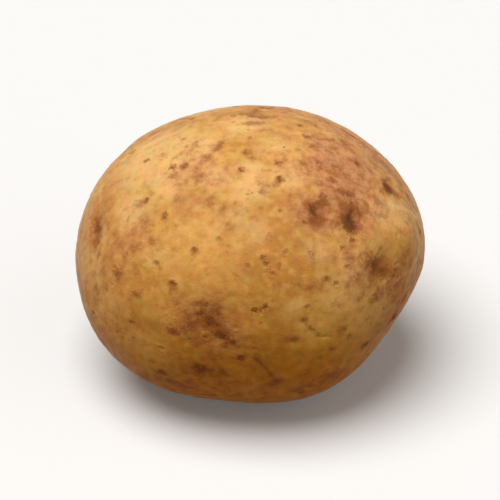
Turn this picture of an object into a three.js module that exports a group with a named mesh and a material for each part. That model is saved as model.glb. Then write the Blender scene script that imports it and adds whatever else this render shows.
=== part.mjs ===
// A baby potato: one small, waxy, yellow-skinned tuber, washed and lying on its flattest side.
//
// Millimetres, +Z up. The origin is on the surface that the tuber rests on, under the middle of
// its bounding box. The longest axis lies along X, with the rose end, where the eyes crowd
// together, towards +X and the stolon scar of the heel end towards -X.
//
// The skin is one closed surface. A unit ball is stretched to the tuber's length, breadth and
// height, then broad swells and hollows, the eyes and the scar move it in or out, and the lowest
// part is pressed flat where the tuber rests.
import * as THREE from "three";
import { mergeVertices } from "three/addons/utils/BufferGeometryUtils.js";

// Driving dimensions, in millimetres.
const LENGTH = 41.8;
const BREADTH = 38;
const HEIGHT = 33.2; // before the resting flat takes a little off
const FLAT_DEPTH = 0.45; // how much of the underside the resting flat takes off
const FLAT_SHOULDER = 0.6; // the height over which the flat rounds up into the flank
const FACE_SEGMENTS = 24; // quads along each edge of the cube that the ball is made from

const HALF = new THREE.Vector3(LENGTH / 2, BREADTH / 2, HEIGHT / 2);
const MEAN_RADIUS = (LENGTH + BREADTH + HEIGHT) / 6;

// A place on the skin is a bearing, in degrees anticlockwise from +X as seen from above, and a
// rise, in degrees above the middle, both on the unit ball.

// Broad forms: each lifts (+) or sinks (-) the skin by `height` mm, fading over `spread` degrees.
const FORMS = [
  { bearing: 65, rise: 45, spread: 20, height: 0.3 }, // full shoulder above the rose end
  { bearing: -22, rise: -26, spread: 18, height: -1.1 }, // flattened cheek below the rose end
  { bearing: -21, rise: 25, spread: 9, height: 0.8 }, // blunt bud that ends the tuber
  { bearing: 150, rise: 30, spread: 24, height: 0.4 }, // blunt heel end, above
  { bearing: -145, rise: -33, spread: 24, height: 1.8 }, // blunt heel end, below
  { bearing: 100, rise: -6, spread: 28, height: -0.7 }, // shallow dent along the back
  { bearing: -60, rise: -42, spread: 18, height: 1.1 }, // swelling low on the front
];

// Eyes: a pit `long` mm along the tuber and `wide` mm across it, `deep` mm deep, under a low brow
// on the side of the heel end.
const EYES = [
  { bearing: -39, rise: 41, long: 1.1, wide: 1.3, deep: 0.6, brow: 0.1 },
  { bearing: -56, rise: 48, long: 1.2, wide: 1.5, deep: 0.28, brow: 0.08 },
  { bearing: -39, rise: 19, long: 1.7, wide: 2.2, deep: 0.6, brow: 0.12 },
  { bearing: -5, rise: 38, long: 0.9, wide: 1.2, deep: 0.35, brow: 0.06 },
  { bearing: -103, rise: 9, long: 2.0, wide: 2.6, deep: 0.38, brow: 0.1 },
  { bearing: -165, rise: 24, long: 1.3, wide: 2.6, deep: 0.45, brow: 0.12 },
  { bearing: 80, rise: 69, long: 1.5, wide: 2.6, deep: 0.4, brow: 0.14 },
  { bearing: 34, rise: 2, long: 1.4, wide: 2.3, deep: 0.5, brow: 0.14 },
  { bearing: 128, rise: 22, long: 1.6, wide: 2.8, deep: 0.45, brow: 0.14 },
  { bearing: 12, rise: -42, long: 1.3, wide: 2.0, deep: 0.45, brow: 0.12 },
  { bearing: -178, rise: -48, long: 1.5, wide: 2.6, deep: 0.4, brow: 0.12 },
  { bearing: 92, rise: -36, long: 1.4, wide: 2.4, deep: 0.4, brow: 0.12 },
];

// The scar where the stolon broke away: a small round pit with a raised collar.
const SCAR = { bearing: 174, rise: -7, radius: 1.3, deep: 0.7, collar: 0.22 };

const TO_ROSE_END = new THREE.Vector3(1, 0, 0);

function placeOnBall({ bearing, rise }) {
  const polar = THREE.MathUtils.degToRad(90 - rise);
  const turn = THREE.MathUtils.degToRad(bearing);
  return new THREE.Vector3(
    Math.sin(polar) * Math.cos(turn),
    Math.sin(polar) * Math.sin(turn),
    Math.cos(polar),
  );
}

// A broad form as a function of a point on the ball.
function broadForm(form) {
  const middle = placeOnBall(form);
  const spread = THREE.MathUtils.degToRad(form.spread);
  return (ball) => form.height * Math.exp((ball.dot(middle) - 1) / spread ** 2);
}

// A pit or scar as a function of a point on the ball, measured in millimetres along the tuber
// and across it. Nothing reaches the far side of the ball.
function localRelief(place, relief) {
  const middle = placeOnBall(place);
  const across = new THREE.Vector3().crossVectors(middle, TO_ROSE_END).normalize();
  const along = new THREE.Vector3().crossVectors(across, middle);
  return (ball) =>
    ball.dot(middle) < 0
      ? 0
      : relief(ball.dot(along) * MEAN_RADIUS, ball.dot(across) * MEAN_RADIUS);
}

function eyeRelief(eye) {
  return localRelief(eye, (along, across) => {
    const pit = Math.exp(-((along / eye.long) ** 2) - (across / eye.wide) ** 2);
    const bend = (0.25 * across ** 2) / eye.wide; // the brow curves round the pit
    const fromBrow = along + 1.5 * eye.long - bend;
    const brow = Math.exp(-((fromBrow / eye.long) ** 2) - (across / (1.4 * eye.wide)) ** 2);
    return eye.brow * brow - eye.deep * pit;
  });
}

function scarRelief(scar) {
  return localRelief(scar, (along, across) => {
    const distance = Math.hypot(along, across) / scar.radius;
    return scar.collar * Math.exp(-((distance - 1.5) ** 2) * 4) - scar.deep * Math.exp(-(distance ** 2));
  });
}

const RELIEFS = [...FORMS.map(broadForm), ...EYES.map(eyeRelief), scarRelief(SCAR)];

// The skin's point over a point of the unit ball.
function skinPoint(ball) {
  const point = ball.clone().multiply(HALF);
  const outward = ball.clone().divide(HALF).normalize();
  const lift = RELIEFS.reduce((sum, relief) => sum + relief(ball), 0);
  return point.addScaledVector(outward, lift);
}

// A cube's surface puffed out to a ball, with its squares kept nearly even.
function ballGeometry(segments) {
  const box = new THREE.BoxGeometry(2, 2, 2, segments, segments, segments);
  box.deleteAttribute("normal");
  box.deleteAttribute("uv");
  const ball = mergeVertices(box);
  const position = ball.getAttribute("position");
  const corner = new THREE.Vector3();
  for (let i = 0; i < position.count; i++) {
    corner.fromBufferAttribute(position, i);
    corner.set(...corner.toArray().map((c) => Math.tan((c * Math.PI) / 4))).normalize();
    position.setXYZ(i, ...corner);
  }
  return ball;
}

// Height above the resting flat: nothing below it, and a rounded shoulder just above it.
function pressedHeight(height) {
  if (height <= 0) return 0;
  if (height < FLAT_SHOULDER) return height ** 2 / (2 * FLAT_SHOULDER);
  return height - FLAT_SHOULDER / 2;
}

function tuberGeometry() {
  const geometry = ballGeometry(FACE_SEGMENTS);
  const position = geometry.getAttribute("position");
  const point = new THREE.Vector3();
  for (let i = 0; i < position.count; i++) {
    point.fromBufferAttribute(position, i);
    position.setXYZ(i, ...skinPoint(point));
  }
  geometry.computeBoundingBox();
  const middle = geometry.boundingBox.getCenter(new THREE.Vector3());
  const flat = geometry.boundingBox.min.z + FLAT_DEPTH;
  geometry.translate(-middle.x, -middle.y, -flat);
  for (let i = 0; i < position.count; i++) {
    position.setZ(i, pressedHeight(position.getZ(i)));
  }
  geometry.computeVertexNormals();
  return geometry;
}

const skin = new THREE.MeshStandardMaterial({ color: 0xd0a05c, roughness: 0.5, metalness: 0 });

const potato = new THREE.Mesh(tuberGeometry(), skin);
potato.name = "potato";

const part = new THREE.Group();
part.add(potato);

export default part;
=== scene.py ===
"""A baby potato on a pale floor: the fine skin, its eyes, lenticels and stains, and the studio."""

import bpy
import numpy as np
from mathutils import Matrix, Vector


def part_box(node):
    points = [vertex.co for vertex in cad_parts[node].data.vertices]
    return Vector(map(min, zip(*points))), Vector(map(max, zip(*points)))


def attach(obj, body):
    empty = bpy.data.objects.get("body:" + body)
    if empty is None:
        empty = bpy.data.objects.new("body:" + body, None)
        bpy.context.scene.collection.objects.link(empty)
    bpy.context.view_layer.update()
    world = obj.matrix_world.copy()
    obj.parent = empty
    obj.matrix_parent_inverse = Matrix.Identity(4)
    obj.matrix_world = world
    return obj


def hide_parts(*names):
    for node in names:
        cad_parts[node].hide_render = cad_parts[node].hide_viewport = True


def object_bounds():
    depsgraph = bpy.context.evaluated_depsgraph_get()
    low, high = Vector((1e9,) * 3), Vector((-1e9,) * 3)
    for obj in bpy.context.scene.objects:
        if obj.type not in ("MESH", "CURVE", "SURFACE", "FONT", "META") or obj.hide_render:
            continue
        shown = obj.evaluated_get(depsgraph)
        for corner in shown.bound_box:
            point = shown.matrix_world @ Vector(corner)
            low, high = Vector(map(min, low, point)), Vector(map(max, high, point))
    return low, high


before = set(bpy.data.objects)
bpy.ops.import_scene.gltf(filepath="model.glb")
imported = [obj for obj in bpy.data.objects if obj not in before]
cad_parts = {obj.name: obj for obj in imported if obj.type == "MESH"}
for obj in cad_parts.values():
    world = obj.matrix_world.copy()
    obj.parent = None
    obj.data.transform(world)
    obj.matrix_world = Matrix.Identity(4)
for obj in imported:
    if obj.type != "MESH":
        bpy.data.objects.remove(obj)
cad_low, cad_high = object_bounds()

# ---------------------------------------------------------------------------------------------
# The tuber. One small waxy potato, grown in one piece: firm flesh under a thin skin, with a blunt
# rose end towards +X, where the eyes crowd together, and a heel end towards -X, where the stolon
# broke away. The surface is a ball that is stretched, swelled, hollowed and pressed flat below.
# ---------------------------------------------------------------------------------------------

MM = 0.001  # in metres

# The solid's own forms, in millimetres and degrees. A place on the skin is a bearing,
# anticlockwise from +X as seen from above, and a rise above the middle, both on a unit ball.
LENGTH, BREADTH, HEIGHT = 41.8, 38.0, 33.2
FLAT_DEPTH = 0.45  # how much of the underside the resting flat takes off
FLAT_SHOULDER = 0.6  # the height over which the flat rounds up into the flank
HALF = np.array([LENGTH, BREADTH, HEIGHT]) / 2
MEAN_RADIUS = HALF.mean()

# Broad forms: each lifts (+) or sinks (-) the skin by its height, fading over its spread.
FORMS = [
    # bearing, rise, spread, height
    (65, 45, 20, 0.3),  # full shoulder above the rose end
    (-22, -26, 18, -1.1),  # flattened cheek below the rose end
    (-21, 25, 9, 0.8),  # blunt bud that ends the tuber
    (150, 30, 24, 0.4),  # blunt heel end, above
    (-145, -33, 24, 1.8),  # blunt heel end, below
    (100, -6, 28, -0.7),  # shallow dent along the back
    (-60, -42, 18, 1.1),  # swelling low on the front
]

# Eyes: a pit so long along the tuber, so wide across it and so deep, under a brow so high.
EYES = [
    # bearing, rise, long, wide, deep, brow
    (-39, 41, 1.1, 1.3, 0.6, 0.1),
    (-56, 48, 1.2, 1.5, 0.28, 0.08),
    (-39, 19, 1.7, 2.2, 0.6, 0.12),
    (-5, 38, 0.9, 1.2, 0.35, 0.06),
    (-103, 9, 2.0, 2.6, 0.38, 0.1),
    (-165, 24, 1.3, 2.6, 0.45, 0.12),
    (80, 69, 1.5, 2.6, 0.4, 0.14),
    (34, 2, 1.4, 2.3, 0.5, 0.14),
    (128, 22, 1.6, 2.8, 0.45, 0.14),
    (12, -42, 1.3, 2.0, 0.45, 0.12),
    (-178, -48, 1.5, 2.6, 0.4, 0.12),
    (92, -36, 1.4, 2.4, 0.4, 0.12),
]

# Each eye has a crescent fold under its brow, a lip so far above the fold, and a tiny sprout in
# its middle. Their heights are in depths of the eye.
FOLD_WIDTH, FOLD_DEPTH = 0.3, 0.25
LIP_WIDTH, LIP_HEIGHT, LIP_GAP = 0.4, 0.15, 0.5
SPROUT_RADIUS, SPROUT_HEIGHT = 0.4, 0.3

# The scar where the stolon broke away, at its bearing and rise.
SCAR = (174, -7)
SCAR_RADIUS, SCAR_DEPTH, SCAR_COLLAR = 1.3, 0.7, 0.22

FACE_SEGMENTS = 128  # quads along each edge of the cube that the ball is made from


def cube_ball(segments):
    """A unit ball made from a cube: its points, and its quads with their faces outwards."""
    steps = 2 * np.arange(segments + 1) - segments
    first, second = np.meshgrid(steps, steps, indexing="ij")
    points, quads = [], []
    for axis in range(3):
        for side in (-1, 1):
            face = np.empty((segments + 1, segments + 1, 3), int)
            face[..., axis] = side * segments
            face[..., (axis + 1) % 3] = first
            face[..., (axis + 2) % 3] = second
            number = np.arange((segments + 1) ** 2).reshape(segments + 1, -1)
            number += len(points) * (segments + 1) ** 2
            corners = [number[:-1, :-1], number[1:, :-1], number[1:, 1:], number[:-1, 1:]]
            quads.append(np.stack(corners[::side], axis=-1).reshape(-1, 4))
            points.append(face.reshape(-1, 3))
    points, merged = np.unique(np.concatenate(points), axis=0, return_inverse=True)
    points = np.tan(points * np.pi / 4 / segments)
    points /= np.linalg.norm(points, axis=1)[:, None]
    return points, merged.ravel()[np.concatenate(quads)]


BALL, QUADS = cube_ball(FACE_SEGMENTS)


def on_ball(bearing, rise):
    """The unit ball's point at a bearing and a rise."""
    turn, up = np.radians(bearing), np.radians(rise)
    return np.array([np.cos(up) * np.cos(turn), np.cos(up) * np.sin(turn), np.sin(up)])


def swell(bearing, rise, spread):
    """1 at a place, fading over `spread` degrees."""
    return np.exp((BALL @ on_ball(bearing, rise) - 1) / np.radians(spread) ** 2)


def around(bearing, rise, slant=0):
    """How far each skin point lies from a place, in mm along the tuber and across it.

    `slant` turns the two directions, in degrees. Points on the far side count as far off.
    """
    middle = on_ball(bearing, rise)
    across = np.cross(middle, (1, 0, 0))
    across /= np.linalg.norm(across)
    along = np.cross(across, middle)
    c, s = np.cos(np.radians(slant)), np.sin(np.radians(slant))
    along, across = c * along + s * across, c * across - s * along
    far_off = np.where(BALL @ middle > 0, 0, 2 * LENGTH)
    return BALL @ along * MEAN_RADIUS + far_off, BALL @ across * MEAN_RADIUS + far_off


def oval(along, across, long, wide):
    """1 in the middle of an oval, fading over its length and its width."""
    return np.exp(-((along / long) ** 2) - (across / wide) ** 2)


def eye_fold(bearing, rise, long, wide):
    """The crescent fold under an eye's brow, and the lip above it: 1 in the middle of each."""
    along, across = around(bearing, rise)
    from_fold = along + 0.7 * long - 0.4 * across**2 / wide
    reach = np.exp(-((across / (1.1 * wide)) ** 4))
    fold = np.exp(-((from_fold / FOLD_WIDTH) ** 2)) * reach
    lip = np.exp(-(((from_fold + LIP_GAP) / LIP_WIDTH) ** 2)) * reach
    return fold, lip


def eye_relief(bearing, rise, long, wide, deep, brow):
    """A pit with a low brow on its heel side, a fold under the brow, and a tiny sprout."""
    along, across = around(bearing, rise)
    pit = oval(along, across, long, wide)
    from_brow = along + 1.5 * long - 0.25 * across**2 / wide
    ridge = oval(from_brow, across, long, 1.4 * wide)
    fold, lip = eye_fold(bearing, rise, long, wide)
    sprout = oval(along - 0.1 * long, across, SPROUT_RADIUS, SPROUT_RADIUS)
    detail = LIP_HEIGHT * lip - FOLD_DEPTH * fold + SPROUT_HEIGHT * sprout
    return brow * ridge + deep * (detail - pit)


def scar_relief():
    """A small round pit with a raised collar, where the stolon broke away."""
    distance = np.hypot(*around(*SCAR)) / SCAR_RADIUS
    collar = SCAR_COLLAR * np.exp(-((distance - 1.5) ** 2) * 4)
    return collar - SCAR_DEPTH * np.exp(-(distance**2))


# Creases and ridges run along the skin through a few places, given as bearing and rise.
RIM_CREASE = [(42, 57), (35, 52), (27, 48), (21, 43), (12, 41), (5, 31)]  # on the rose end
RIM_RIDGE = [(52, 54), (46, 49), (36, 46), (28, 41), (20, 39), (11, 30)]  # just outside it
BUD_RIDGE = [(-24, 41), (-20, 35), (-14, 29), (-9, 22), (-8, 14)]  # over the top of the bud
BUD_FOLD = [(-39, 12), (-31, 9), (-25, 9), (-18, 13)]  # below the bud
SCRATCH = [(-74, 9), (-70, 3), (-68, 0), (-64, -1)]  # a fine one on the front
LOW_CRACK = [(-89, -8), (-85, -15), (-82, -22)]  # a hairline low on the front
LINE_RELIEF = [
    # line, height, width
    (RIM_RIDGE, 0.08, 0.7),
    (RIM_CREASE, -0.13, 0.6),
    (BUD_RIDGE, 0.18, 0.7),
    (BUD_FOLD, 0.08, 0.5),
    (SCRATCH, -0.06, 0.3),
    (LOW_CRACK, -0.08, 0.3),
]


def along_line(line, width):
    """1 on a line over the skin, fading over `width` mm to each side."""
    nearest = np.full(len(BALL), np.inf)
    for start, end in zip(line, line[1:]):
        a, b = on_ball(*start), on_ball(*end)
        share = np.clip((BALL - a) @ (b - a) / ((b - a) @ (b - a)), 0, 1)[:, None]
        gap = np.linalg.norm(BALL - a - share * (b - a), axis=1) * MEAN_RADIUS
        nearest = np.minimum(nearest, gap)
    return np.exp(-((nearest / width) ** 2))


lift = sum(height * swell(*place) for *place, height in FORMS)
lift += sum(eye_relief(*eye) for eye in EYES) + scar_relief()
lift += sum(height * along_line(line, width) for line, height, width in LINE_RELIEF)

# The ball takes its size and its relief, is centred on the solid, and is pressed flat below.
outward = BALL / HALF
outward /= np.linalg.norm(outward, axis=1)[:, None]
skin = BALL * HALF + outward * lift[:, None]
box_low, box_high = (np.array(corner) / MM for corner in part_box("potato"))
skin[:, :2] += (box_low + box_high)[:2] / 2 - (skin.min(0) + skin.max(0))[:2] / 2
above = skin[:, 2] - skin[:, 2].min() - FLAT_DEPTH
shoulder = np.maximum(above, 0) ** 2 / (2 * FLAT_SHOULDER)
pressed = np.where(above < FLAT_SHOULDER, shoulder, above - FLAT_SHOULDER / 2)
skin[:, 2] = box_low[2] + pressed

tuber_mesh = bpy.data.meshes.new("tuber")
tuber_mesh.from_pydata((skin * MM).tolist(), [], QUADS.tolist())
tuber_mesh.shade_smooth()

# ---------------------------------------------------------------------------------------------
# The stains. Where the skin was rubbed, bruised or healed in the ground it is russet, brown or
# nearly black, and where it is thin and clean, or painted with a highlight, it is straw yellow.
# Each kind is one layer over the skin, from 0 for none to about 1 for full strength, which the
# skin's material colours.
# ---------------------------------------------------------------------------------------------

# bearing, rise, spread in degrees, strength
RUSSET_AREAS = [
    (20, 45, 14, 1.0),  # the shoulder above the rose end
    (-12, 57, 12, 1.3),
    (-33, 51, 10, 1.2),  # round the eyes by the bud
    (-56, 49, 7, 1.0),
    (-17, 32, 6, 0.4),
    (-2, 24, 7, 0.3),
    (-50, 24, 9, 0.5),
    (-36, 10, 5, 0.8),  # below the bud
    (-28, -4, 8, 0.7),
    (-141, 66, 8, 0.6),
    (-124, 54, 5, 0.4),
    (-170, 20, 9, 0.6),  # the heel end's flank
    (-144, 29, 7, 0.6),
    (-150, 10, 9, 0.5),
    (-140, 3, 9, 0.3),
    (-106, 10, 8, 0.7),  # round the low eye on the front
    (-100, 0, 9, 0.8),
    (-110, -28, 14, 0.7),
    (-62, -30, 9, 0.6),
    (80, 56, 9, 0.8),
    (120, 0, 20, 0.8),
    (60, -20, 16, 0.8),
    (170, -30, 14, 0.8),
]
OCHRE_AREAS = [
    (-81, 34, 9, 1.0),  # the middle of the front
    (-92, 19, 9, 0.8),
    (-98, -4, 12, 0.7),
    (-124, 55, 6, 0.7),
    (-108, 50, 5, 0.5),
    (60, 10, 16, 0.7),
    (140, 40, 14, 0.6),
    (-170, -10, 14, 0.6),
]
# Straw yellow skin, and painted highlights: a band over the top and on the bud.
STRAW_AND_HIGHLIGHT_AREAS = [
    (-175, 57, 13, 1.2),
    (-158, 24, 6, 0.6),
    (-158, 10, 9, 0.6),
    (-142, 0, 8, 0.5),
    (-121, 9, 7, 0.45),
    (-152, 55, 9, 0.8),
    (-153, 40, 7, 0.9),
    (-127, 28, 6, 0.5),
    (-124, 14, 6, 0.4),
    (-122, 66, 6, 0.7),
    (-168, 70, 8, 0.9),
    (120, 82, 8, 0.8),
    (-62, 66, 6, 0.8),
    (-40, 80, 7, 0.6),
    (-98, 52, 5, 0.5),
    # painted highlights, in a band over the top
    (-92, 64, 6, 0.8),
    (-92, 71, 5, 0.8),
    (-73, 79, 5, 0.5),
    (-64, 36, 5, 0.6),
    (-90, 46, 7, 0.5),
    (-52, 28, 8, 0.5),
    (-58, 16, 8, 0.8),
    (-38, 28, 6, 0.4),
    (-76, 15, 5, 0.6),
    (-124, -11, 9, 0.7),
    (-60, -4, 7, 0.5),
    (-68, 3, 7, 0.8),
    (-50, 3, 9, 1.0),
    # painted highlights, on the top and the ridge of the bud
    (-18, 31, 6, 0.7),  # the top of the bud
    (-26, 37, 4, 1.1),
    (-8, 16, 6, 1.1),
    (-41, 0, 5, 0.5),
    (110, 50, 12, 0.8),
    (40, -50, 16, 0.7),
    (150, -5, 10, 0.6),
]

# bearing, rise, long, wide in mm, slant in degrees, strength
DARK_MARKS = [
    (-44, 41, 0.95, 1.2, 0, 1.2),  # the eye by the bud
    (-58, 51, 0.5, 0.9, 25, 0.9),
    (-55, 46, 0.35, 0.6, 0, 0.5),
    (-48, 54, 0.55, 0.55, 0, 0.9),
    (-69, 66, 0.35, 0.4, 0, 0.9),
    # the hollow under the bud: its dark is partly a stain, partly painted shade
    (-43, 23, 1.2, 0.8, 0, 0.8),  # the hollow under the bud
    (-39, 16, 1.4, 0.7, -45, 0.6),
    (-8, 39, 0.85, 0.9, -30, 1.2),
    (-104, 8, 1.0, 0.8, -45, 0.6),  # the low eye on the front
    (-101, 3, 0.9, 0.6, -10, 1.1),
    (-96, 1, 0.5, 0.4, 0, 0.9),
    (-49, -14, 0.65, 0.65, 0, 1.0),
    (-94, -7, 0.45, 0.5, 0, 1.0),
    (-108, -14, 0.9, 0.7, 20, 0.8),
    (-122, -22, 0.7, 0.5, 0, 1.1),
    (-34, -10, 0.7, 0.5, 0, 0.8),
    (-165, 22, 0.8, 1.9, 10, 0.6),  # the streak at the heel end
    (84, 75, 1.6, 0.4, 0, 0.6),
    (34, 2, 0.7, 1.2, 0, 0.8),  # the eyes of the back and the underside
    (128, 22, 0.8, 1.5, 0, 0.7),
    (12, -42, 0.7, 1.1, 0, 0.8),
    (-178, -48, 0.7, 1.4, 0, 0.7),
    (92, -36, 0.7, 1.2, 0, 0.7),
]
BROWN_MARKS = [
    (-42, 44, 1.6, 2.1, 0, 1.0),
    (-40, 48, 1.1, 0.9, 0, 0.8),
    (-58, 51, 0.8, 1.2, 20, 1.0),
    (-58, 47, 1.0, 1.0, 0, 1.2),
    (-51, 52, 1.0, 0.6, 40, 1.2),
    (-34, 51, 1.0, 0.7, 0, 0.8),
    # the hollow under the bud, brown partly as painted shade
    (-40, 19, 2.9, 1.4, -35, 1.0),
    (-51, 19, 0.6, 0.8, 0, 0.5),
    (-43, 10, 0.5, 1.6, 20, 0.4),
    (-8, 39, 1.1, 1.1, 0, 1.0),
    (-107, 16, 1.4, 0.5, 0, 0.8),  # the low eye on the front
    (-104, 11, 1.7, 1.2, -50, 0.9),
    (-108, 8, 2.4, 2.4, 0, 0.75),
    (-101, 5, 1.6, 1.1, -40, 1.0),
    (-97, 1, 1.0, 0.7, 0, 0.7),
    (-110, 6, 0.7, 0.6, 0, 1.0),
    (-116, 2, 0.8, 0.7, 0, 0.8),
    (-165, 23, 0.7, 1.9, 10, 0.9),  # the heel end
    (-160, 19, 0.7, 1.0, 10, 1.0),
    (-146, 72, 0.7, 0.6, 30, 0.8),
    (-99, 80, 0.7, 0.5, 0, 0.7),
    (-93, 77, 0.5, 0.4, 0, 0.5),
    (-140, 66, 0.6, 0.8, 0, 0.5),
    (180, 71, 0.6, 0.8, 0, 0.5),
    (-115, 54, 1.2, 0.7, 0, 0.4),
    (-107, 54, 0.5, 0.8, -40, 0.6),
    (-135, 52, 0.5, 0.6, 0, 0.6),
    (-126, 43, 0.6, 0.5, 0, 0.4),
    (-142, 39, 1.0, 1.4, 0, 0.5),
    (-152, 49, 0.4, 0.8, 10, 0.3),
    (-134, 34, 0.6, 0.8, 0, 0.6),
    (-140, 28, 0.7, 0.7, 0, 0.7),
    (-145, 27, 0.5, 0.6, 0, 0.5),
    (-136, 23, 0.8, 0.5, -30, 0.5),
    (-142, 16, 0.9, 0.9, 0, 0.8),
    (-131, 0, 0.6, 0.4, 0, 0.5),
    (-114, 36, 0.45, 0.65, 0, 0.6),
    (-77, 1, 0.75, 0.6, 0, 0.8),  # the front, below the bud
    (-74, 24, 0.7, 0.5, 0, 0.6),
    (-70, 22, 1.1, 0.6, 0, 0.6),
    (-63, 24, 0.5, 0.45, 0, 0.8),
    (-66, 34, 0.5, 1.2, 0, 0.5),
    (-53, 33, 0.4, 0.7, 0, 0.5),
    (-63, -8, 0.6, 0.45, 0, 0.7),
    (-60, 1, 0.8, 0.6, 0, 0.7),
    (-60, 12, 0.9, 0.5, -20, 0.4),
    (-49, 1, 0.5, 0.4, 0, 0.5),
    (-34, -10, 0.8, 0.5, 0, 1.0),
    (-107, -15, 1.5, 0.9, 0, 0.9),
    (-100, -16, 0.7, 0.7, 0, 0.9),
    (-71, -18, 0.5, 0.9, 0, 0.5),
    (-131, -30, 1.0, 1.0, 0, 0.7),
    (-20, 60, 0.9, 0.6, 0, 0.4),  # the shoulder above the rose end
    (-6, 53, 0.7, 0.6, 0, 0.7),
    (15, 58, 0.8, 1.6, 20, 0.5),
    (86, 73, 2.6, 0.7, 0, 0.9),  # the streak on top
    (174, -7, 1.1, 1.1, 0, 1.0),  # the stolon scar
    (34, 3, 1.5, 2.2, 0, 1.0),  # the eyes of the back and the underside
    (129, 23, 1.6, 2.6, 0, 0.9),
    (12, -41, 1.4, 2.0, 0, 0.9),
    (-178, -47, 1.4, 2.4, 0, 0.9),
    (92, -35, 1.4, 2.2, 0, 0.9),
]
RED_MARKS = [
    (-46, 9, 1.1, 1.0, 0, 0.8),  # below the bud
    (-51, 12, 1.0, 0.8, 0, 0.5),
    (-35, 10, 0.9, 1.6, 0, 0.5),
    (-27, 18, 0.8, 1.6, 0, 0.6),
    (-18, 7, 0.8, 1.6, 0, 0.5),
    (-43, 38, 1.1, 0.9, 0, 1.0),
    (-37, 41, 0.8, 1.2, 0, 0.6),
    (-7, 36, 1.0, 0.6, -30, 1.2),
    (-34, 51, 1.2, 0.7, 0, 0.8),
    (-27, 57, 0.8, 0.7, 0, 0.5),
    (-34, 58, 0.7, 0.5, 0, 0.9),
    (-27, 65, 0.5, 1.6, 0, 0.45),
    (-11, 69, 0.7, 0.7, 0, 0.6),
    (0, 34, 0.7, 0.9, 0, 0.3),
    (0, 28, 0.6, 1.2, 0, 0.6),
    (-81, 25, 0.7, 0.5, 0, 0.6),
    (-73, 9, 0.55, 0.5, 0, 0.9),
    (-103, 8, 1.1, 0.9, 0, 0.9),  # round the low eye on the front
    (-108, 13, 0.6, 0.8, 0, 0.5),
    (-116, 2, 0.6, 0.6, 0, 0.8),
    (-99, -2, 0.7, 0.6, 0, 0.7),
    (-119, 21, 0.45, 0.7, 0, 1.0),
    (-120, 35, 0.6, 0.6, 0, 0.4),
    (-131, 12, 0.6, 0.5, 0, 0.8),
    (-89, -7, 0.5, 0.5, 0, 0.9),
    (-94, -7, 0.6, 0.6, 0, 0.9),
    (-49, -14, 0.7, 0.7, 0, 0.9),
    (-106, -16, 1.0, 0.8, 0, 0.8),
    (-82, -22, 0.9, 1.1, 0, 0.9),
    (-60, -26, 1.6, 1.0, 0, 0.8),
    (-72, -30, 1.8, 0.8, 0, 0.7),
    (-118, -28, 2.0, 0.9, 0, 0.9),
    (-155, 17, 0.5, 1.0, 0, 0.5),  # the heel end
    (-150, 4, 0.9, 0.9, 0, 0.6),
    (-158, 27, 0.6, 1.2, 0, 0.5),
    (-151, 43, 0.6, 0.7, 0, 0.65),
    (-133, 63, 0.6, 1.6, 0, 0.6),
    (-116, 58, 0.6, 0.6, 0, 0.5),
    (-136, -6, 1.6, 1.2, 0, 0.5),
    (-124, -8, 1.0, 0.8, 0, 0.3),
    (172, 44, 0.7, 0.8, 0, 0.5),
    (-95, 55, 0.6, 0.6, 0, 0.5),  # the ring scar
    (-83, 62, 0.5, 0.5, 0, 0.8),
    (-80, 64, 0.8, 0.5, 0, 0.6),
    (-84, 69, 0.5, 1.0, 0, 0.5),
    (-74, 64, 0.6, 0.5, 0, 0.8),
    (90, 81, 1.2, 0.6, 0, 1.0),
]

# Lines that are stained, or rubbed pale and painted pale as a rim sheen: those of the relief,
# and two that lie in flat skin.
# the heel end's rim, pale partly from wear and partly as a painted rim sheen
HEEL_RUB_AND_SHEEN = [(168, 24), (-176, 19), (-170, 10), (-160, 5)]  # the worn rim of the heel end
TOP_STREAK = [(-163, 79), (-150, 76)]
LINE_STAINS = {
    # layer: line, strength, width
    # the straw along the bud's ridge and its fold is a painted highlight on their raised edges
    "straw": [(BUD_RIDGE, 1.5, 0.8), (BUD_FOLD, 1.0, 0.6)],
    "brown": [(LOW_CRACK, 0.8, 0.4), (TOP_STREAK, 0.8, 0.6)],
    "red": [(SCRATCH, 0.6, 0.35), (RIM_CREASE, 0.6, 0.8)],
    "scuff": [(RIM_RIDGE, 1.0, 1.0), (HEEL_RUB_AND_SHEEN, 0.8, 1.0)],
}

# A faint ring on top, at its bearing and rise.
RING_SCAR = (-77, 67)
RING_RADIUS, RING_WIDTH, RING_STRENGTH = 1.3, 0.35, 0.45
FOLD_STRENGTH = 0.6  # the brown in the fold of each eye
DEEPEST_EYE = max(deep for *_, deep, _ in EYES)


def areas(rows):
    """The strongest of some soft areas at each skin point."""
    return np.max([strength * swell(*place) for *place, strength in rows], axis=0)


def marks(rows):
    """The strongest of some small oval marks at each skin point."""
    layer = np.zeros(len(BALL))
    for bearing, rise, long, wide, slant, strength in rows:
        along, across = around(bearing, rise, slant)
        distance = (along / long) ** 2 + (across / wide) ** 2
        layer = np.maximum(layer, strength * np.exp(-0.7 * distance))
    return layer


def lines(rows):
    """The strongest of some lines at each skin point."""
    return np.max([strength * along_line(line, width) for line, strength, width in rows], axis=0)


def eye_hollow(bearing, rise, long, wide, deep):
    """How deep in an eye each skin point lies: 1 at the bottom of the deepest one."""
    return oval(*around(bearing, rise), long, wide) * deep / DEEPEST_EYE


def keep_on_skin(name, layer):
    """Stores one number for each skin point in the mesh."""
    attribute = tuber_mesh.attributes.new(name, "FLOAT", "POINT")
    attribute.data.foreach_set("value", layer.astype(np.float32))


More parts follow.
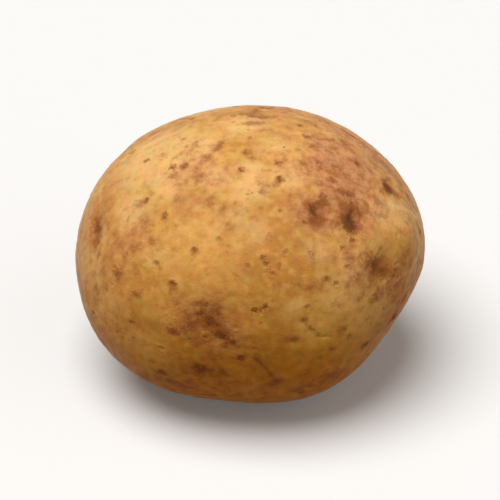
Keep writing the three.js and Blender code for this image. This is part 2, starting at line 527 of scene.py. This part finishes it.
# The far sides carry marks of the same kinds and sizes, scattered where few are placed above.
SCATTER_SEED = 11
FAR_MARKS = [(DARK_MARKS, 12), (BROWN_MARKS, 24), (RED_MARKS, 16)]  # so many of each kind
scatter = np.random.default_rng(SCATTER_SEED)
for layer_rows, count in FAR_MARKS:
    for _ in range(count):
        bearing, rise = scatter.uniform(15, 165), scatter.uniform(-55, 65)
        long, wide = scatter.uniform(0.4, 1.0), scatter.uniform(0.4, 1.1)
        slant, strength = scatter.uniform(0, 180), scatter.uniform(0.5, 0.9)
        layer_rows.append((bearing, rise, long, wide, slant, strength))

folds = np.max([eye_fold(*eye[:4])[0] for eye in EYES], axis=0)
from_ring = np.hypot(*around(*RING_SCAR)) - RING_RADIUS
ring = np.exp(-((from_ring / RING_WIDTH) ** 2))
stained = {name: lines(rows) for name, rows in LINE_STAINS.items()}
LAYERS = {
    "russet": areas(RUSSET_AREAS),
    "ochre": areas(OCHRE_AREAS),
    "straw": np.maximum(areas(STRAW_AND_HIGHLIGHT_AREAS), stained["straw"]),
    "dark": marks(DARK_MARKS),
    "brown": np.max([marks(BROWN_MARKS), stained["brown"], FOLD_STRENGTH * folds], axis=0),
    "red": np.max([marks(RED_MARKS), stained["red"], RING_STRENGTH * ring], axis=0),
    # rubbed ridges, partly a painted rim sheen
    "scuff": stained["scuff"],
    # how deep in an eye each point lies, which darkens the skin there
    "hollow": np.max([eye_hollow(*eye[:5]) for eye in EYES], axis=0),
}

# The raised edge of the fold below the bud keeps only half its stains, a painted highlight along
# it.
for name in ("dark", "brown", "red"):
    LAYERS[name] *= 1 - 0.5 * along_line(BUD_FOLD, 0.5)
for name, layer in LAYERS.items():
    keep_on_skin(name, layer)

# ---------------------------------------------------------------------------------------------
# The lenticels. The skin breathes through small corky pores, scattered a few millimetres apart
# and closer in the russet. Each is a shallow pit about half a millimetre across with a low rim.
# ---------------------------------------------------------------------------------------------

# The ones that stand out: bearing, rise, radius in mm, darkness
PLACED_LENTICELS = [
    (-158, 61, 0.36, 1.0),
    (-151, 64, 0.4, 0.9),
    (-149, 58, 0.36, 0.5),
    (180, 32, 0.34, 0.5),
    (-102, 80, 0.42, 0.8),
    (-102, 71, 0.38, 1.0),
    (-69, 66, 0.42, 1.0),
    (-61, 73, 0.4, 0.8),
    (-39, 69, 0.4, 0.6),
    (8, 72, 0.36, 0.8),
    (-6, 53, 0.4, 0.7),
    (-20, 60, 0.4, 0.4),
    (12, 62, 0.34, 0.5),
    (-134, 45, 0.42, 1.0),
    (-102, 48, 0.38, 0.4),
    (-90, 51, 0.34, 0.2),
    (-105, 42, 0.34, 0.4),
    (-114, 36, 0.36, 0.5),
    (-127, 27, 0.36, 0.5),
    (-119, 21, 0.4, 0.7),
    (-92, 32, 0.34, 0.3),
    (-86, 36, 0.38, 0.7),
    (-85, 33, 0.38, 0.7),
    (-83, 29, 0.34, 0.4),
    (-82, 44, 0.34, 0.4),
    (-77, 37, 0.34, 0.4),
    (-66, 58, 0.34, 0.3),
    (-47, 34, 0.36, 0.7),
    (-53, 33, 0.36, 0.5),
    (-60, 21, 0.34, 0.5),
    (-72, 14, 0.36, 0.3),
    (-89, 15, 0.36, 0.9),
    (-86, 16, 0.4, 1.0),
    (-57, -4, 0.34, 0.7),
    (-34, -10, 0.38, 0.7),
    (-120, -8, 0.36, 0.3),
    (-132, -1, 0.36, 0.6),
]
FAR_LENTICELS = 30  # scattered over the far sides, which hold few of those above
for _ in range(FAR_LENTICELS):
    bearing, rise = scatter.uniform(10, 175), scatter.uniform(-50, 65)
    radius, darkness = scatter.uniform(0.32, 0.42), scatter.uniform(0.4, 1.0)
    PLACED_LENTICELS.append((bearing, rise, radius, darkness))

# The skin point nearest each of them holds its radius and its darkness.
radius_layer, tone_layer = np.zeros(len(BALL)), np.zeros(len(BALL))
for bearing, rise, radius, darkness in PLACED_LENTICELS:
    nearest = np.argmax(BALL @ on_ball(bearing, rise))
    radius_layer[nearest], tone_layer[nearest] = radius * MM, darkness
keep_on_skin("lenticel_radius", radius_layer)
keep_on_skin("lenticel_tone", tone_layer)


class Wire:
    """One output of a node. Arithmetic on it adds Math nodes to its tree."""

    def __init__(self, tree, socket):
        self.tree, self.socket = tree, socket

    def __getitem__(self, name):
        """Another output of the same node, by its name or number."""
        return Wire(self.tree, self.socket.node.outputs[name])

    def __add__(self, other):
        return self.tree.math("ADD", self, other)

    def __sub__(self, other):
        return self.tree.math("SUBTRACT", self, other)

    def __rsub__(self, other):
        return self.tree.math("SUBTRACT", other, self)

    def __mul__(self, other):
        return self.tree.math("MULTIPLY", self, other)

    def __rtruediv__(self, other):
        return self.tree.math("DIVIDE", other, self)

    def __pow__(self, other):
        return self.tree.math("POWER", self, other)

    def __lt__(self, other):
        return self.tree.math("LESS_THAN", self, other)

    def __gt__(self, other):
        return self.tree.math("GREATER_THAN", self, other)

    __radd__, __rmul__ = __add__, __mul__


class Tree:
    """A node tree, of a material, of the world or of geometry. Each call adds a node to it."""

    def __init__(self, node_tree):
        self.nodes, self.links = node_tree.nodes, node_tree.links

    def node(self, kind, settings=None, sockets=None):
        """Adds a node: its settings first, then its sockets' values or links.

        A list of wires all go into one socket, such as that of Join Geometry.
        """
        made = self.nodes.new(kind)
        for name, value in (settings or {}).items():
            setattr(made, name, value)
        for key, value in (sockets or {}).items():
            if not isinstance(value, (Wire, list)):
                made.inputs[key].default_value = value
                continue
            for wire in value if isinstance(value, list) else [value]:
                self.links.new(wire.socket, made.inputs[key])
        return Wire(self, made.outputs[0]) if made.outputs else None

    def math(self, operation, *values):
        """A Math node on one or more wires or numbers."""
        return self.node("ShaderNodeMath", {"operation": operation}, dict(enumerate(values)))

    def minus(self, first, second):
        """One vector less another."""
        return self.node("ShaderNodeVectorMath", {"operation": "SUBTRACT"}, {0: first, 1: second})

    def plus(self, first, second):
        """Two vectors added."""
        return self.node("ShaderNodeVectorMath", {"operation": "ADD"}, {0: first, 1: second})

    def times(self, first, second):
        """Two vectors or colours multiplied, each part by its like."""
        return self.node("ShaderNodeVectorMath", {"operation": "MULTIPLY"}, {0: first, 1: second})

    def scaled(self, vector, scale):
        """A vector or colour times a number."""
        sockets = {0: vector, "Scale": scale}
        return self.node("ShaderNodeVectorMath", {"operation": "SCALE"}, sockets)

    def length(self, vector):
        """How long a vector is."""
        return self.node("ShaderNodeVectorMath", {"operation": "LENGTH"}, {0: vector})["Value"]

    def step(self, value, low, high):
        """0 below `low` and 1 above `high`, with a smooth rise between. `low` may be the higher."""
        settings = {"interpolation_type": "SMOOTHSTEP"}
        sockets = {"Value": value, "From Min": low, "From Max": high}
        return self.node("ShaderNodeMapRange", settings, sockets)

    def noise(self, place, size, detail, distortion=0.0):
        """Noise about 0.5, with lumps of about `size`."""
        sockets = {"Vector": place, "Scale": 1 / size, "Detail": detail}
        return self.node("ShaderNodeTexNoise", {}, sockets | {"Distortion": distortion})


LENTICEL_INPUTS = {
    # name: kind of socket, value
    "Spacing": ("NodeSocketFloat", 1.5 * MM),
    "Density": ("NodeSocketFloat", 0.4 / MM**2),
    "Smallest Radius": ("NodeSocketFloat", 0.15 * MM),
    "Largest Radius": ("NodeSocketFloat", 0.36 * MM),
    "Pit Depth": ("NodeSocketFloat", 0.28),  # in radii
    "Lump Size": ("NodeSocketFloat", 6 * MM),
    "Lump Height": ("NodeSocketFloat", 0.45 * MM),
    "Wrinkle Size": ("NodeSocketFloat", 1.3 * MM),
    "Wrinkle Height": ("NodeSocketFloat", 0.15 * MM),
    "Scab Size": ("NodeSocketFloat", 0.7 * MM),
    "Scab Height": ("NodeSocketFloat", 0.1 * MM),
    "Seed": ("NodeSocketInt", 5),
    "Skin": ("NodeSocketMaterial", None),
}


def lenticel_tree():
    """Roughens and pits the skin, and stores how each skin point lies from its nearest lenticel."""
    group = bpy.data.node_groups.new("lenticels", "GeometryNodeTree")
    group.interface.new_socket("Geometry", in_out="OUTPUT", socket_type="NodeSocketGeometry")
    group.interface.new_socket("Geometry", in_out="INPUT", socket_type="NodeSocketGeometry")
    for name, (kind, _) in LENTICEL_INPUTS.items():
        group.interface.new_socket(name, in_out="INPUT", socket_type=kind)
    tree = Tree(group)
    given = tree.node("NodeGroupInput")
    place = tree.node("GeometryNodeInputPosition")
    normal = tree.node("GeometryNodeInputNormal")

    def stored(name):
        """What the skin or the points hold under a name."""
        return tree.node("GeometryNodeInputNamedAttribute", {"data_type": "FLOAT"}, {"Name": name})

    def store(geometry, name, value, kind="FLOAT"):
        """The geometry, now also holding a value for each of its points."""
        settings = {"data_type": kind, "domain": "POINT"}
        sockets = {"Geometry": geometry, "Name": name, "Value": value}
        return tree.node("GeometryNodeStoreNamedAttribute", settings, sockets)

    def chance(seed):
        """A number from 0 to 1 for each point."""
        return tree.node("FunctionNodeRandomValue", {"data_type": "FLOAT"}, {"Seed": seed})[1]

    # The placed lenticels stand at the skin points that hold a radius. The others are scattered,
    # closer together in the russet, and kept off the placed ones.
    on_skin = {"Mesh": given["Geometry"], "Selection": stored("lenticel_radius") > 0}
    placed = tree.node("GeometryNodeMeshToPoints", {}, on_skin)
    scattered = tree.node(
        "GeometryNodeDistributePointsOnFaces",
        {"distribute_method": "POISSON"},
        {
            "Mesh": given["Geometry"],
            "Distance Min": given["Spacing"],
            "Density Max": given["Density"],
            "Density Factor": 0.3 + 0.7 * stored("russet"),
            "Seed": given["Seed"],
        },
    )
    gap = tree.node(
        "GeometryNodeProximity",
        {"target_element": "POINTS"},
        {"Geometry": placed, "Sample Position": place},
    )["Distance"]
    too_close = {"Geometry": scattered, "Selection": gap < given["Spacing"]}
    scattered = tree.node("GeometryNodeDeleteGeometry", {"domain": "POINT"}, too_close)
    spread = given["Largest Radius"] - given["Smallest Radius"]
    radius = given["Smallest Radius"] + spread * chance(given["Seed"]) ** 1.5
    scattered = store(scattered, "lenticel_radius", radius)
    scattered = store(scattered, "lenticel_tone", 0.05 + 0.9 * chance(given["Seed"] + 1) ** 3)
    cloud = tree.node("GeometryNodeJoinGeometry", {}, {"Geometry": [placed, scattered]})

    # Each skin point's way from its nearest lenticel, counted in that lenticel's radii. Beyond
    # 1.6 radii it turns off the skin, so that it isn't nought halfway between two lenticels.
    from_here = {"Geometry": cloud, "Sample Position": place}
    nearest = tree.node("GeometryNodeSampleNearest", {"domain": "POINT"}, from_here)

    def of_nearest(value, kind="FLOAT"):
        """A value of the lenticel nearest each skin point."""
        settings = {"data_type": kind, "domain": "POINT"}
        sockets = {"Geometry": cloud, "Value": value, "Index": nearest}
        return tree.node("GeometryNodeSampleIndex", settings, sockets)

    way = tree.minus(place, of_nearest(place, "FLOAT_VECTOR"))
    radius = of_nearest(stored("lenticel_radius"))
    way = tree.scaled(way, 1 / radius)
    radii_off = tree.length(way)
    off_skin = tree.scaled(normal, 3 * tree.math("MAXIMUM", radii_off - 1.6, 0))
    skin = store(given["Geometry"], "lenticel_way", tree.plus(way, off_skin), "FLOAT_VECTOR")
    skin = store(skin, "lenticel_dark", of_nearest(stored("lenticel_tone")))

    # A pit with a low rim, on skin with shallow lumps and finer wrinkles. Stained skin is scabby.
    pit = tree.math("EXPONENT", -1.2 * radii_off**2)
    rim = tree.math("EXPONENT", -3 * (radii_off - 1.3) ** 2)
    relief = given["Pit Depth"] * radius * (0.25 * rim - pit)
    relief = relief + given["Lump Height"] * (tree.noise(place, given["Lump Size"], 1) - 0.5)
    wrinkles = tree.noise(place, given["Wrinkle Size"], 2) - 0.5
    relief = relief + given["Wrinkle Height"] * wrinkles
    worst_stain = tree.math("MAXIMUM", stored("brown"), stored("dark"))
    scabs = worst_stain * (tree.noise(place, given["Scab Size"], 2) - 0.62)
    relief = relief + given["Scab Height"] * scabs
    lifted = {"Geometry": skin, "Offset": tree.scaled(normal, relief)}
    skin = tree.node("GeometryNodeSetPosition", {}, lifted)
    skin = tree.node("GeometryNodeRealizeInstances", {}, {"Geometry": skin})
    coated = {"Geometry": skin, "Material": given["Skin"]}
    skin = tree.node("GeometryNodeSetMaterial", {}, coated)
    tree.node("NodeGroupOutput", {}, {"Geometry": skin})
    return group


# ---------------------------------------------------------------------------------------------
# The skin's finish. Washed potato skin is thin, satin and a little translucent, golden over
# yellow flesh, with pinkish russet, brown stains, dark pores and a fine dull grain.
# ---------------------------------------------------------------------------------------------


def tint(red, green, blue):
    """A colour as written for a screen, 0 to 255, in linear light."""
    share = np.array([red, green, blue]) / 255
    linear = np.where(share <= 0.04045, share / 12.92, ((share + 0.055) / 1.055) ** 2.4)
    return (*linear, 1.0)


GOLDEN = tint(222, 165, 81)
OCHRE = tint(201, 141, 58)
# straw yellow skin, also used for painted highlights
STRAW_AND_HIGHLIGHT = tint(242, 196, 124)
# painted shade: the deeper, warmer colour given to the lower flank
PAINTED_SHADE_AMBER = tint(206, 138, 26)
SALMON = tint(209, 142, 103)
RUST = tint(167, 102, 48)
BROWN = tint(124, 61, 8)
DARK = tint(64, 29, 2)
WINE = tint(134, 62, 36)
# pale rubbed skin, also used for a painted rim sheen
SCUFFED_AND_SHEEN = tint(214, 166, 122)
# painted warm bounce light: the underside's colour is multiplied by this
PAINTED_BOUNCE_TINGE = (1.0, 0.98, 0.2)  # takes the blue out of the underside's colour

# The flank is painted amber as shade, and takes the painted warm bounce tinge, from the higher of
# two heights down to the lower. Towards both ends of the tuber, between two ways from its middle,
# it loses most of the tinge.
PAINTED_SHADE_FROM, PAINTED_SHADE_FULL = 19 * MM, 5 * MM
PAINTED_BOUNCE_FROM, PAINTED_BOUNCE_FULL = 27 * MM, 6 * MM
ENDS_FROM, ENDS_FULL, ENDS_LOSS = 7 * MM, 18 * MM, 0.75

HUE_WAVERS = [(2.8 * MM, 0.1), (1.4 * MM, 0.16)]  # size, strength
NET_CELL, NET_WIDTH = 0.9 * MM, 0.12  # the width of its cracks is in cells
FRECKLES = [
    # spacing, largest reach in spacings, strength
    (1.7 * MM, 0.3, 0.65),
    (0.6 * MM, 0.22, 0.4),
]


def skin_material():
    """The skin's colours, dull grain and fine relief."""
    material = bpy.data.materials.new("potato_skin")
    material.use_nodes = True
    material.node_tree.nodes.clear()
    tree = Tree(material.node_tree)
    place = tree.node("ShaderNodeTexCoord")["Object"]

    def layer(name):
        """One of the layers that the skin points hold."""
        return tree.node("ShaderNodeAttribute", {"attribute_name": name})["Fac"]

    def mix(share, first, second):
        """The first colour, with a share of the second."""
        sockets = {"Factor": share, 6: first, 7: second}
        return tree.node("ShaderNodeMix", {"data_type": "RGBA"}, sockets)[2]

    # Noise from broad clouds of colour down to the grain.
    cloud = tree.noise(place, 9 * MM, 2)
    patch = tree.noise(place, 2.6 * MM, 3, 0.4)
    mottle = tree.noise(place, 1.1 * MM, 3)
    fine = tree.noise(place, 0.45 * MM, 2)
    grain = tree.noise(place, 0.2 * MM, 2)
    wobble = tree.minus(tree.noise(place, 0.5 * MM, 2)["Color"], (0.5, 0.5, 0.5))

    # Clean skin is golden and deeper in places, painted amber below as shade and warm bounce, and
    # straw yellow where thinnest and where painted highlights lie.
    colour = mix(tree.step(cloud + 0.4 * layer("ochre"), 0.4, 0.7), GOLDEN, OCHRE)
    parts = tree.node("ShaderNodeSeparateXYZ", {}, {0: place})
    ends = tree.step(tree.math("ABSOLUTE", parts["X"]), ENDS_FROM, ENDS_FULL)
    # Painted shade and warm bounce light, by height: the amber share low down, the tinge share
    # lowest.
    low = tree.step(parts["Z"] + 6 * MM * (cloud - 0.5), PAINTED_SHADE_FROM, PAINTED_SHADE_FULL)
    painted_bounce_share = tree.step(parts["Z"], PAINTED_BOUNCE_FROM, PAINTED_BOUNCE_FULL) * (1 - ENDS_LOSS * ends)
    colour = mix(0.8 * low, colour, PAINTED_SHADE_AMBER)
    # Straw yellow where the skin is thinnest, and painted highlights.
    straw = tree.step(layer("straw") + 0.5 * (patch - 0.5), 0.15, 0.85)
    colour = mix(0.8 * straw, colour, STRAW_AND_HIGHLIGHT)

    # Russet skin is a pinkish brown, in soft patches and blots.
    uneven = 0.9 * (patch - 0.5) + 0.6 * (mottle - 0.5)
    russet = tree.step(layer("russet") + uneven, 0.0, 1.0)
    colour = mix(0.1 + 0.7 * russet, colour, SALMON)
    blots = tree.step(mottle + 0.4 * (fine - 0.5) + 0.08 * russet, 0.48, 0.8)
    colour = mix(blots * (0.3 + 0.4 * russet), colour, RUST)
    pale = tree.step(mottle + 0.4 * (patch - 0.5), 0.55, 0.25)
    colour = mix(pale * (0.35 - 0.15 * russet), colour, STRAW_AND_HIGHLIGHT)
    colour = tree.scaled(colour, 0.91 + 0.12 * fine + 0.08 * grain)
    # Painted warm bounce light: low down, away from the ends, the colour loses most of its blue.
    colour = mix(painted_bounce_share, colour, tree.times(colour, PAINTED_BOUNCE_TINGE))

    # Its hue wavers between pinkish and greenish from one spot to the next.
    for size, strength in HUE_WAVERS:
        waver = tree.minus(tree.noise(place, size, 0)["Color"], (0.5, 0.5, 0.5))
        colour = tree.plus(colour, tree.scaled(tree.times(colour, waver), strength))

    # A net of hairline cracks, closer and darker where the skin is russet.
    bent = tree.plus(place, tree.scaled(wobble, 1.2 * MM))
    cells = {"Vector": bent, "Scale": 1 / NET_CELL}
    edges = tree.node("ShaderNodeTexVoronoi", {"feature": "DISTANCE_TO_EDGE"}, cells)["Distance"]
    net = tree.step(edges, NET_WIDTH, 0.0) * tree.step(patch + 0.25 * russet, 0.4, 0.75)
    colour = mix(net * (0.15 + 0.2 * russet), colour, RUST)

    # Faint brown freckles, of every size up to a millimetre, and specks like fine pepper.
    for spacing, largest, strength in FRECKLES:
        spots = tree.node("ShaderNodeTexVoronoi", {}, {"Vector": bent, "Scale": 1 / spacing})
        chances = tree.node("ShaderNodeSeparateColor", {}, {0: spots["Color"]})
        reach = 0.05 + largest * chances[0]
        freckle = tree.step(spots["Distance"] + 0.15 * (fine - 0.5), reach, 0.4 * reach)
        colour = mix(freckle * strength * chances[1] ** 2, colour, RUST)

    # Stains with soft, cloudy halos and ragged cores, the darkest last, and skin darker with the
    # depth of each eye.
    ragged = 0.45 * (mottle - 0.5) + 0.65 * (fine - 0.5) + 0.6 * (grain - 0.5)
    halo = tree.step(layer("brown") + ragged, 0.0, 0.8)
    colour = mix(0.6 * halo, colour, RUST)
    red = tree.step(layer("red") + ragged, 0.15, 0.9)
    colour = mix(0.6 * red, colour, WINE)
    brown = tree.step(layer("brown") + 1.4 * ragged, 0.35, 1.0)
    colour = mix(0.6 * brown, colour, BROWN)
    flakes = halo * tree.step(fine + 0.6 * (grain - 0.5), 0.5, 0.68)
    colour = mix(0.22 * flakes, colour, SALMON)
    # Darker, towards rust, with the depth of each eye.
    colour = mix(0.3 * layer("hollow"), colour, RUST)
    dark = tree.step(layer("dark") + ragged, 0.25, 0.95)
    colour = mix(0.6 * dark, colour, DARK)

    # Ridges that rubbed against other tubers are paler, in patches; along the rims this pale band
    # is also a painted sheen.
    scuffed_and_sheen_share = tree.step(layer("scuff") + 1.2 * (mottle - 0.5) + 1.4 * (patch - 0.5), 0.3, 0.9)
    colour = mix(0.4 * scuffed_and_sheen_share, colour, SCUFFED_AND_SHEEN)

    # Lenticels: a dark pore in a rusty ring, of uneven outline.
    way = tree.node("ShaderNodeAttribute", {"attribute_name": "lenticel_way"})["Vector"]
    radii_off = tree.length(tree.plus(way, tree.scaled(wobble, 3.2)))
    tone = layer("lenticel_dark")
    ring = tree.step(radii_off, 2.2, 0.7) * tone
    colour = mix(0.65 * ring, colour, RUST)
    pore = tree.step(radii_off, 1.1, 0.4) * tone
    colour = mix(0.6 * pore, colour, BROWN)
    collar = tree.step(radii_off, 2.2, 1.4) - tree.step(radii_off, 1.3, 0.7)

    # The finest relief, in millimetres: the grain, the cracks and the pores.
    relief = 0.03 * fine + 0.025 * grain + 0.03 * mottle * russet + 0.035 * fine * halo
    relief = relief - 0.016 * net - 0.05 * pore + 0.02 * collar
    normal = tree.node("ShaderNodeBump", {}, {"Distance": MM, "Height": relief})
    shader = tree.node(
        "ShaderNodeBsdfPrincipled",
        {},
        {
            "Base Color": colour,
            "Roughness": 0.46 + 0.12 * russet + 0.15 * halo + 0.1 * dark + 0.2 * (mottle - 0.5),
            "Normal": normal,
            "IOR": 1.4,
            "Specular IOR Level": 0.16,
            "Specular Tint": (1.0, 0.88, 0.68, 1.0),
            "Subsurface Weight": 0.12,
            "Subsurface Radius": (1.0, 0.45, 0.15),
            "Subsurface Scale": 1.6 * MM,
            "Sheen Weight": 0.08,
            "Sheen Roughness": 0.5,
            "Sheen Tint": (1.0, 0.8, 0.5, 1.0),
        },
    )
    tree.node("ShaderNodeOutputMaterial", {}, {"Surface": shader})
    return material


potato = bpy.data.objects.new("potato_skin", tuber_mesh)
bpy.context.scene.collection.objects.link(potato)
lenticels = lenticel_tree()
values = {name: value for name, (_, value) in LENTICEL_INPUTS.items()}
values["Skin"] = skin_material()
growth = potato.modifiers.new("lenticels", "NODES")
growth.node_group = lenticels
for item in lenticels.interface.items_tree:
    if item.name in values:
        growth[item.identifier] = values[item.name]
depsgraph = bpy.context.evaluated_depsgraph_get()
grown = bpy.data.meshes.new_from_object(
    potato.evaluated_get(depsgraph), preserve_all_data_layers=True, depsgraph=depsgraph
)
potato.modifiers.remove(growth)
potato.data = grown
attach(potato, "root")
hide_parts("potato")

# ---------------------------------------------------------------------------------------------
# The studio. A plain pale floor, one broad soft light from high on the left, a weak one from the
# right, and a long lens that looks down on the potato.
# ---------------------------------------------------------------------------------------------

FLOOR_REACH = 3.0  # metres to each side
FLOOR_COLOUR = (0.9, 0.9, 0.9, 1)
FLOOR_GLOW = 0.1  # how much of its white the floor keeps in the potato's shadow
BOUNCE_COLOUR = (0.25, 0.14, 0.05, 1)  # what the floor throws back at the potato
SHADE_COLOUR, SHADE_STRENGTH = (1.0, 0.83, 0.58, 1), 0.13  # the dim light from all round
CAMERA_RISE = 35  # degrees above level
CAMERA_DISTANCE = 0.52  # metres
CAMERA_LENS = 310  # mm, on Blender's 36 mm sensor

corners = [(-FLOOR_REACH, -FLOOR_REACH, 0), (FLOOR_REACH, -FLOOR_REACH, 0)]
corners += [(FLOOR_REACH, FLOOR_REACH, 0), (-FLOOR_REACH, FLOOR_REACH, 0)]
floor_mesh = bpy.data.meshes.new("floor")
floor_mesh.from_pydata(corners, [], [(0, 1, 2, 3)])
floor = bpy.data.objects.new("floor", floor_mesh)
bpy.context.scene.collection.objects.link(floor)


def seen(tree):
    """1 where the camera sees something, also by a gloss or through glass."""
    rays = tree.node("ShaderNodeLightPath")
    in_gloss = tree.math("MAXIMUM", rays["Is Glossy Ray"], rays["Is Transmission Ray"])
    return tree.math("MAXIMUM", in_gloss, rays["Is Camera Ray"])


def floor_paint():
    """Pale matt paint that throws only a dim, warm light back at the potato."""
    paint = bpy.data.materials.new("floor_paint")
    paint.use_nodes = True
    paint.node_tree.nodes.clear()
    tree = Tree(paint.node_tree)
    looks = {"Factor": seen(tree), 6: BOUNCE_COLOUR, 7: FLOOR_COLOUR}
    look = tree.node("ShaderNodeMix", {"data_type": "RGBA"}, looks)[2]
    matt = tree.node("ShaderNodeBsdfDiffuse", {}, {"Color": look})
    glow = tree.node("ShaderNodeEmission", {}, {"Color": FLOOR_COLOUR, "Strength": 1.0})
    surface = tree.node("ShaderNodeMixShader", {}, {0: FLOOR_GLOW * seen(tree), 1: matt, 2: glow})
    tree.node("ShaderNodeOutputMaterial", {}, {"Surface": surface})
    return paint


def from_middle(azimuth, elevation):
    """The way from the potato to a lamp or camera. Azimuth 0 is straight in front, at -Y."""
    a, e = np.radians(azimuth), np.radians(elevation)
    return Vector((np.sin(a) * np.cos(e), -np.cos(a) * np.cos(e), np.sin(e)))


def place_lamp(name, azimuth, elevation, width, strength):
    """A far, even lamp, `width` degrees across as the potato sees it."""
    lamp = bpy.data.lights.new(name, "SUN")
    lamp.angle, lamp.energy = np.radians(width), strength
    holder = bpy.data.objects.new(name, lamp)
    holder.rotation_euler = from_middle(azimuth, elevation).to_track_quat("Z", "Y").to_euler()
    bpy.context.scene.collection.objects.link(holder)


def surroundings():
    """White to the camera, and a dim, warm shade to the potato."""
    world = bpy.data.worlds.new("studio")
    world.use_nodes = True
    world.node_tree.nodes.clear()
    tree = Tree(world.node_tree)
    dim = {"Color": SHADE_COLOUR, "Strength": SHADE_STRENGTH}
    shade = tree.node("ShaderNodeBackground", {}, dim)
    white = tree.node("ShaderNodeBackground", {}, {"Color": (1, 1, 1, 1), "Strength": 1.0})
    all_round = tree.node("ShaderNodeMixShader", {}, {0: seen(tree), 1: shade, 2: white})
    tree.node("ShaderNodeOutputWorld", {}, {"Surface": all_round})
    return world


floor_mesh.materials.append(floor_paint())
place_lamp("high_lamp", azimuth=-60, elevation=75, width=45, strength=2.95)
place_lamp("side_lamp", azimuth=65, elevation=35, width=60, strength=0.3)
bpy.context.scene.world = surroundings()

middle = (cad_low + cad_high) / 2
camera = bpy.data.objects.new("camera", bpy.data.cameras.new("camera"))
camera.data.lens = CAMERA_LENS
camera.data.clip_start = 0.01
to_camera = from_middle(0, CAMERA_RISE)
camera.location = middle + to_camera * CAMERA_DISTANCE
camera.rotation_euler = to_camera.to_track_quat("Z", "Y").to_euler()
bpy.context.scene.collection.objects.link(camera)
bpy.context.scene.camera = camera
bpy.context.scene.view_settings.view_transform = "Standard"
